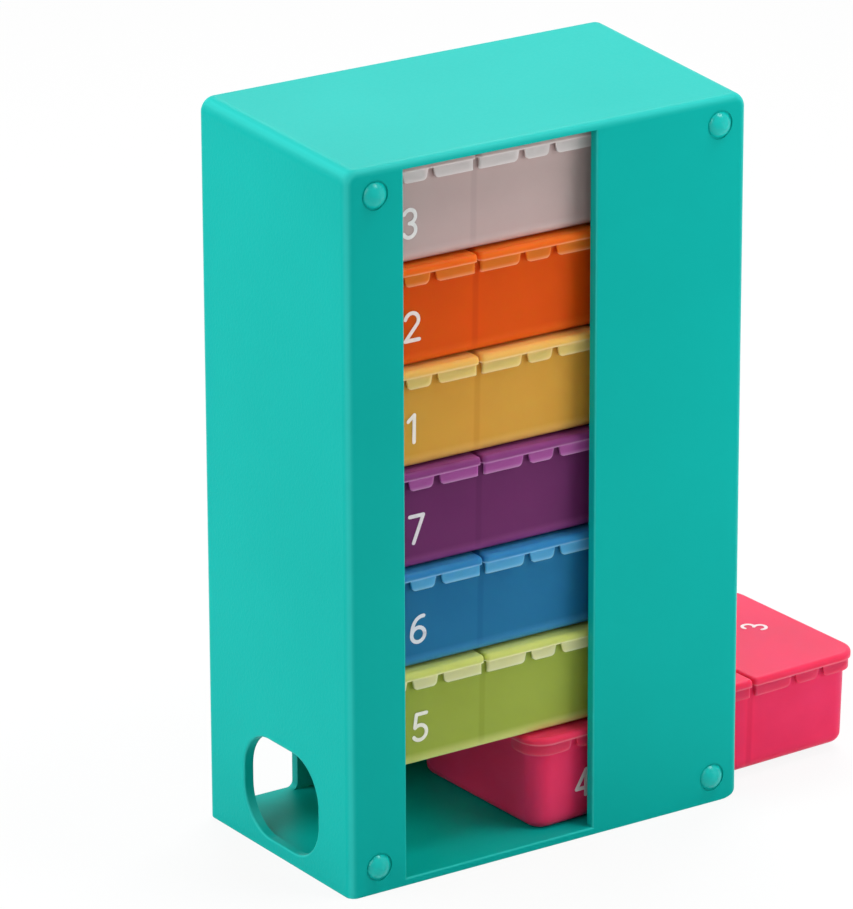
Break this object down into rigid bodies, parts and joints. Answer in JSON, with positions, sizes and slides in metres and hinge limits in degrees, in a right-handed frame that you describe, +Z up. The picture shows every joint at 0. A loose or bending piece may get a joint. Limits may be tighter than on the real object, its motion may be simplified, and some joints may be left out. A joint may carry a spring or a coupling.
{
  "type": "weekly pill organizer",
  "caption": "Upright moulded case with an open side and front window, holding a stack of slide-out day trays whose compartments close with hinged snap lids.",
  "frame": {"origin": "centre of the case's flat base, on the surface it stands on", "axes": "+Z up, -Y out of the windowed front, +X out of the open side the trays slide through"},
  "size_m": [0.1549, 0.0634, 0.1815],
  "materials": {
    "case_plastic": "glossy moulded turquoise",
    "stud_plastic": "satin moulded turquoise",
    "amber_tray_plastic": "translucent moulded amber",
    "orange_tray_plastic": "translucent moulded orange",
    "white_tray_plastic": "translucent moulded white",
    "pink_tray_plastic": "translucent moulded pink",
    "lime_tray_plastic": "translucent moulded lime",
    "blue_tray_plastic": "translucent moulded blue",
    "purple_tray_plastic": "translucent moulded purple"
  },
  "bodies": {
    "case": {"case_shell": "case_plastic", "corner_studs": "stud_plastic"},
    "day_1_drawer": {"day_1_tray": "amber_tray_plastic", "day_1_lid_morning": "amber_tray_plastic", "day_1_lid_noon": "amber_tray_plastic", "day_1_lid_evening": "amber_tray_plastic"},
    "day_2_drawer": {"day_2_tray": "orange_tray_plastic", "day_2_lid_morning": "orange_tray_plastic", "day_2_lid_noon": "orange_tray_plastic", "day_2_lid_evening": "orange_tray_plastic"},
    "day_3_drawer": {"day_3_tray": "white_tray_plastic", "day_3_lid_morning": "white_tray_plastic", "day_3_lid_noon": "white_tray_plastic", "day_3_lid_evening": "white_tray_plastic"},
    "day_4_drawer": {"day_4_tray": "pink_tray_plastic", "day_4_lid_morning": "pink_tray_plastic", "day_4_lid_noon": "pink_tray_plastic"},
    "day_4_evening_flap": {"day_4_lid_evening": "pink_tray_plastic"},
    "day_5_drawer": {"day_5_tray": "lime_tray_plastic", "day_5_lid_morning": "lime_tray_plastic", "day_5_lid_noon": "lime_tray_plastic", "day_5_lid_evening": "lime_tray_plastic"},
    "day_6_drawer": {"day_6_tray": "blue_tray_plastic", "day_6_lid_morning": "blue_tray_plastic", "day_6_lid_noon": "blue_tray_plastic", "day_6_lid_evening": "blue_tray_plastic"},
    "day_7_drawer": {"day_7_tray": "purple_tray_plastic", "day_7_lid_morning": "purple_tray_plastic", "day_7_lid_noon": "purple_tray_plastic", "day_7_lid_evening": "purple_tray_plastic"}
  },
  "joints": [
    {"name": "day_1_slide", "type": "slide", "parent": "case", "child": "day_1_drawer", "axis": [1, 0, 0], "range_m": [-0.00125, 0.09375]},
    {"name": "day_2_slide", "type": "slide", "parent": "case", "child": "day_2_drawer", "axis": [1, 0, 0], "range_m": [-0.0008, 0.0942]},
    {"name": "day_3_slide", "type": "slide", "parent": "case", "child": "day_3_drawer", "axis": [1, 0, 0], "range_m": [-0.00035, 0.09465]},
    {"name": "day_4_slide", "type": "slide", "parent": "case", "child": "day_4_drawer", "axis": [1, 0, 0], "range_m": [-0.0476, 0.0474]},
    {"name": "day_4_evening_hinge", "type": "hinge", "parent": "day_4_drawer", "child": "day_4_evening_flap", "pos_m": [0.07933, 0.02554, 0.02285], "axis": [-0.9991, -0.0419, 0], "range_deg": [0, 100]},
    {"name": "day_5_slide", "type": "slide", "parent": "case", "child": "day_5_drawer", "axis": [1, 0, 0], "range_m": [-0.0026, 0.0924]},
    {"name": "day_6_slide", "type": "slide", "parent": "case", "child": "day_6_drawer", "axis": [1, 0, 0], "range_m": [-0.00215, 0.09285]},
    {"name": "day_7_slide", "type": "slide", "parent": "case", "child": "day_7_drawer", "axis": [1, 0, 0], "range_m": [-0.0017, 0.0933]}
  ]
}
